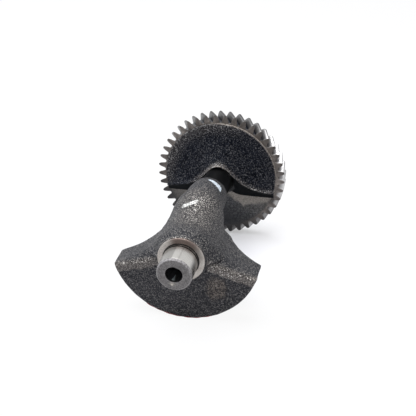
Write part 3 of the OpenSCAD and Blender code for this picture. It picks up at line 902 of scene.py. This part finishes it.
def rearLobe():
    # Sections from rim to foot, side by side along x: a face that leans out to a bell-shaped crease, a lip
    # below it, and an under face that runs back to a straight foot
    n, f, k = lobeRows, lobeForm, lobeMarks
    b = dict(lobe, r=lobe["r"] + f["rimOut"])
    at = gear["at"]
    u = np.linspace(-1, 1, n["columns"])
    x = u * (b["r"] - f["tipIn"])
    a = math.pi / 2 - u * (math.pi / 2 + math.asin((b["drop"] - f["dropIn"]) / b["r"]))
    archZ = lerp(-b["drop"], b["archH"], bell(x))
    archY = at - 2 * b["out"] - (b["reach"] - 2 * b["out"]) * bell(x)
    lipOut = b["lipOut"] * (1 - f["lipNarrow"] * u * u) + f["lipMore"] * around(x, *f["lipAt"])
    crease = np.stack([x, archY, archZ], -1)
    lip = crease - np.stack([0 * u, lipOut, b["lipFall"] + 0 * u], -1)
    under = lip + f["under"]
    footZ = b["footRise"] * around(x, 0, b["footRiseW"]) - b["foot"]
    foot = np.stack([x, at - f["footIn"] + 0 * x, footZ], -1)
    q = np.linspace(0, math.pi / 2, n["rim"])[:, None]
    rimR = b["r"] - f["round"] * (1 - np.cos(q))
    rimY = at - b["out"] + f["round"] * (1 - np.sin(q))
    rim = np.stack([rimR * np.cos(a), rimY + 0 * a, rimR * np.sin(a)], -1)
    v = np.linspace(0, 1, n["face"])[1:-2, None]
    face = lerp(rim[-1], crease, v[..., None])
    face[..., 1] = lerp(rim[-1][:, 1], crease[:, 1], v ** f["bow"])
    shelf = lerp(crease, lip, f["shelf"])
    fillet = bendCurve(face[-1], crease, shelf, n["crease"])
    flatLip = lerp(shelf, lip, np.linspace(0, f["flat"], n["lip"] + 1)[1:, None, None])
    turned = bendCurve(flatLip[-1], lip, under, n["turn"])
    w = np.linspace(0, 1, n["under"] + 1)[1:, None, None]
    belly = lerp(under, foot, w) + np.array([0, f["belly"], 0]) * np.sin(math.pi * w)
    backRim = rim[:1] * [1, 0, 1] + [0, at + f["behind"], 0]
    parts = [backRim, rim, face, fillet, flatLip, turned, belly, foot[None] + [0, f["behind"], 0]]
    grid = np.concatenate(parts)
    count = np.cumsum([len(p) for p in parts])
    row = np.arange(len(grid))[:, None] + 0 * u
    # The under face: smooth, and painted near black as shade
    smooth = ease(count[4] + 0.5, count[5] - 0.5, row)
    wall = fade(count[0] + 1, count[1] - 1, row)
    onLip = ease(count[3] - 3, count[4] - 1, row) * fade(count[5] - 4, count[5] - 1, row)
    grid[..., 1] -= forgedRipple(grid) * (1 - smooth) * (1 - wall)
    grid[..., 2] += forgedRipple(grid + 3) * onLip * f["lipRipple"]
    px, pz = grid[..., 0], grid[..., 2]
    fromLeft = ease(*k["fromLeft"], px)
    # The lip's pale band: rough flash with a painted highlight where its top catches the light, palest in the
    # middle
    lipShare = k["lip"] + k["lipUneven"] * ripple(grid, 1.8, 5, 8) + k["lipMiddle"] * around(px, *k["lipAt"])
    lipShare *= fromLeft
    # Paler land and specks near the rim, most at the upper left: painted light
    leftTop = fade(*k["leftTop"], px - k["topTilt"] * pz + k["topShift"])
    edge = (row < count[2]) * ease(*k["edgeR"], np.hypot(px, pz))
    edge *= k["edgeLeast"] + k["edgeMore"] * leftTop
    edge *= grow(*k["edgeZ"], pz)
    # Painted highlight on the face just above the lip
    over = np.maximum(pz - grid[count[3] - 1, :, 2], 0)  # height over the lip on the face
    nearLip = (row < count[3]) * around(over, 0, k["nearHalf"]) * fromLeft
    nearLip *= grow(*k["nearRight"], px)
    nearShare = k["near"] + k["near"] * ripple(grid, 1.6, 9, 8)
    wallShare = grow(*k["wall"], px)
    land = np.maximum.reduce([wall * wallShare, onLip * lipShare, edge * k["edgeLand"], nearLip * nearShare])
    speck = np.maximum.reduce([onLip * fromLeft, edge * k["edgeSpeck"], nearLip * k["nearSpeck"]])
    masks = dict(landMask=land, stainMask=0 * land, smoothMask=smooth, speckMask=speck)
    masks = {key: np.pad(values.T, ((1, 1), (0, 0)), "edge") for key, values in masks.items()}
    grid = closeEnds(np.swapaxes(grid, 0, 1))
    makePiece("rearLobe", grid, shadedLobeSteel, masks=masks, sharp=55)


paintMarks = dict(
    stripe=dict(y=(36.4, 40.6), deg=(204.6, 175.6), bow=-0.9, halfWidth=1.8, taper=(0.05, 0.05), lift=0.10,
                colour=(0.66, 0.66, 0.65), wear=0.85),
    crescent=dict(y=(67.4, 65.6), deg=(174.0, 145.0), bow=0.4, halfWidth=3.3, taper=(0.9, 0.3), lift=0.10,
                  colour=(0.66, 0.74, 0.82), wear=0.55),
)


paintTube = dict(rows=60, sides=24, powers=(2.5, 4), wavy=0.10, waves=47, lean=2, fine=0.07, fineWaves=101)


def paintPiece(name, paintName, grid, k):
    paint = paintMaterial(paintName, k["colour"], k["wear"])
    makePiece(name, closeEnds(grid), paint, sharp=60)


def paintMark(name, k):
    # A thin flattened tube on the body's skin: its middle runs in (angle, y) with a bow, its ends taper
    n = paintTube
    t = np.linspace(0, 1, n["rows"])[:, None]
    loop = fullCircle(n["sides"])
    across, lift = np.cos(loop), np.sin(loop)
    first, last = k["taper"]
    width = (1 - first * (1 - t) ** n["powers"][0]) * (1 - last * t ** n["powers"][1])
    ragged = 1 + n["wavy"] * np.sin(t * n["waves"] + across * n["lean"])
    ragged += n["fine"] * np.sin(t * n["fineWaves"])
    deg = lerp(*k["deg"], t) + 0 * across
    middle = lerp(*k["y"], t) + k["bow"] * 4 * t * (1 - t)
    y = middle + k["halfWidth"] * width * ragged * across
    a = np.radians(deg)
    p = polar(bodyRadius(y, folded(a), fanEdge(y)), y, a)
    up = forgedRipple(p) - forgedSkin["sink"] - noseTrim(p) + k["lift"] * lift
    paintPiece(name + "Mark", name + "Paint", p + polar(1, 0 * a, a) * up[..., None], k)


redTrace = dict(deg=(-32.0, 22.0), radius=0.42, colour=(0.30, 0.015, 0.03), wear=0.8, rows=120, sides=10,
                least=0.62, swell=0.38, waves=31, slowWaves=12.3, sinkR=0.12, outY=0.05)


def edgeTrace():
    # A thin tube along the fan's rounded front edge, its section a circle that swells and fades on the way
    k = redTrace
    t = np.linspace(0, 1, k["rows"])[:, None]
    loop = fullCircle(k["sides"])
    a = np.radians(lerp(*k["deg"], t))
    size = k["radius"] * (k["least"] + k["swell"] * np.sin(t * k["waves"]) * np.sin(t * k["slowWaves"] + 1))
    inset = fan["edge"] * (1 - math.sqrt(0.5))
    r = fan["r"] - inset - k["sinkR"] + size * np.cos(loop)
    y = fan["back"] + inset - k["outY"] + size * np.sin(loop)
    paintPiece("edgeTrace", "redTrace", polar(r, y, a), k)


forgedBody()
frontJournal()
neckAndRear()
helicalGear()
rearLobe()
for markName, values in paintMarks.items():
    paintMark(markName, values)
edgeTrace()
print("stage: pieces made")

studio = dict(floorZ=-47.7, floorHalf=4.0, floorColour=(0.83, 0.83, 0.88), roughness=0.9, aim=(0, 0.06, 0),
              ambient=0.22, glow=((0.1, 0.15), (0.45, 0.5), (1.0, 0.92)), glowMiddle=(8.0, 98.0),
              glowHalf=(75.0, 80.0))
lamps = dict(
    overhead=dict(place=(-0.22, 0.08, 1.15), power=25.0, size=1.3),
    rightFill=dict(place=(1.1, 0.1, 0.55), power=2.0, size=0.9),
    leftFill=dict(place=(-1.0, 0.15, 0.5), power=4.0, size=0.9, tint=(0.86, 0.93, 1.0)),
)
photoCamera = dict(place=(108.84, -424.39, 265.52), azimuth=12.228, elevation=27.699, lens=73.01, sensor=36.0,
                   clip=(0.01, 50))


def setFrame(thing, right, back, place):  # stands a lamp or camera by its axes, of which up is back x right
    rows = np.vstack([np.column_stack([right, np.cross(back, right), back, place]), [0, 0, 0, 1]])
    thing.matrix_world = Matrix(rows.tolist())


def seenDirectly(tree):  # 1 for rays from the camera or off a mirror-like surface
    path = addNode(tree, "ShaderNodeLightPath").outputs
    seen = calc(tree, "MAXIMUM", path["Is Camera Ray"], path["Is Glossy Ray"])
    return calc(tree, "MAXIMUM", seen, path["Is Transmission Ray"])


def paleFloor():  # a flat square whose glow, as the camera sees it, grows with the distance from the gear
    k = studio
    s, z = k["floorHalf"], k["floorZ"] * mm
    mesh = bpy.data.meshes.new("floor")
    mesh.from_pydata([(-s, -s, z), (s, -s, z), (s, s, z), (-s, s, z)], [], [(0, 1, 2, 3)])
    floor = addObject("floor", mesh)
    m, tree, sockets = newMaterial("paleFloor")
    plug(tree, sockets["Base Color"], k["floorColour"])
    plug(tree, sockets["Roughness"], k["roughness"])
    glow = addNode(tree, "ShaderNodeEmission", Strength=1.0)
    mix = addNode(tree, "ShaderNodeMixShader")
    xyz = ownPlace(tree)[1]
    offsets = [calc(tree, "DIVIDE", calc(tree, "SUBTRACT", xyz[i], k["glowMiddle"][i] * mm),
                    k["glowHalf"][i] * mm) for i in (0, 1)]
    share = ramp(tree, lengthOf(tree, *offsets), *k["glow"])
    tree.links.new(times(tree, seenDirectly(tree), share), mix.inputs[0])
    tree.links.new(tree.nodes["Principled BSDF"].outputs[0], mix.inputs[1])
    tree.links.new(glow.outputs[0], mix.inputs[2])
    tree.links.new(mix.outputs[0], tree.nodes["Material Output"].inputs["Surface"])
    mesh.materials.append(m)


def softLamp(name, place, power, size, tint=(1, 1, 1)):  # a round area lamp that faces the shaft
    data = bpy.data.lights.new(name, "AREA")
    data.energy, data.shape, data.size, data.color = power, "DISK", size, tint
    back = np.array(place) - studio["aim"]
    back /= np.linalg.norm(back)
    right = np.cross([0, 1, 0], back)
    right /= np.linalg.norm(right)
    setFrame(addObject(name, data), right, back, place)


def studioWorld():  # white where it is seen, dim as a light
    world = bpy.data.worlds.new("studio")
    scene.world = world
    world.use_nodes = True
    tree = world.node_tree
    ambient = studio["ambient"]
    strength = scaled(tree, seenDirectly(tree), 1 - ambient, ambient)
    tree.links.new(strength, tree.nodes["Background"].inputs["Strength"])
    tree.nodes["Background"].inputs["Color"].default_value = (1, 1, 1, 1)


def makeCamera():  # the camera fitted to the picture, turned by its azimuth and elevation
    c = photoCamera
    a, e = math.radians(c["azimuth"]), math.radians(c["elevation"])
    back = np.array([math.sin(a) * math.cos(e), -math.cos(a) * math.cos(e), math.sin(e)])
    right = np.array([math.cos(a), math.sin(a), 0])
    data = bpy.data.cameras.new("photoCamera")
    data.lens, data.sensor_width = c["lens"], c["sensor"]
    data.clip_start, data.clip_end = c["clip"]
    camera = addObject("photoCamera", data)
    setFrame(camera, right, back, np.array(c["place"]) * mm)
    scene.camera = camera


paleFloor()
for lampName, lamp in lamps.items():
    softLamp(lampName, **lamp)
studioWorld()
makeCamera()
scene.view_settings.view_transform = "Standard"
print("stage: studio made")
